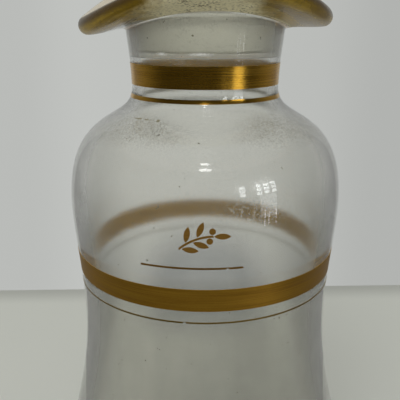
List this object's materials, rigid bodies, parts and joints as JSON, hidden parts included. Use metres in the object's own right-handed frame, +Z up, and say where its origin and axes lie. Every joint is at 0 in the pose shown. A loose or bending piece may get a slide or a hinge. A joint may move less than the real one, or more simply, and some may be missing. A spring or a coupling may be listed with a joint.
{
  "type": "glass oil bottle",
  "caption": "Blown glass table-oil bottle with a waisted body, flared saddle-shaped pouring lip, fired gilt bands and a ground glass stopper that lifts out.",
  "frame": {"origin": "centre of the resting ring, on the table plane, under the bottle's axis", "axes": "+Z up along the bottle's axis, -Y towards the painted front, +X to the viewer's right"},
  "size_m": [0.101, 0.101, 0.2042],
  "materials": {
    "clear_glass": "clear blown glass, slightly hazed, ground where the stopper seats",
    "gilding": "fired gilding, satin, brushed on in rings and worn at the lip"
  },
  "bodies": {
    "bottle": {"glass_bottle": "clear_glass", "lip_gilding": "gilding", "neck_gilt_band": "gilding", "neck_gilt_line": "gilding", "waist_gilt_band": "gilding", "waist_gilt_line": "gilding", "panel_underline": "gilding", "sprig_stem": "gilding", "sprig_leaves": "gilding", "sprig_olives": "gilding"},
    "stopper": {"stopper": "clear_glass", "stopper_gilt_band": "gilding", "stopper_gilt_line": "gilding"}
  },
  "joints": [
    {"name": "stopper_lift", "type": "slide", "parent": "bottle", "child": "stopper", "axis": [0, 0, 1], "range_m": [0, 0.08]}
  ]
}
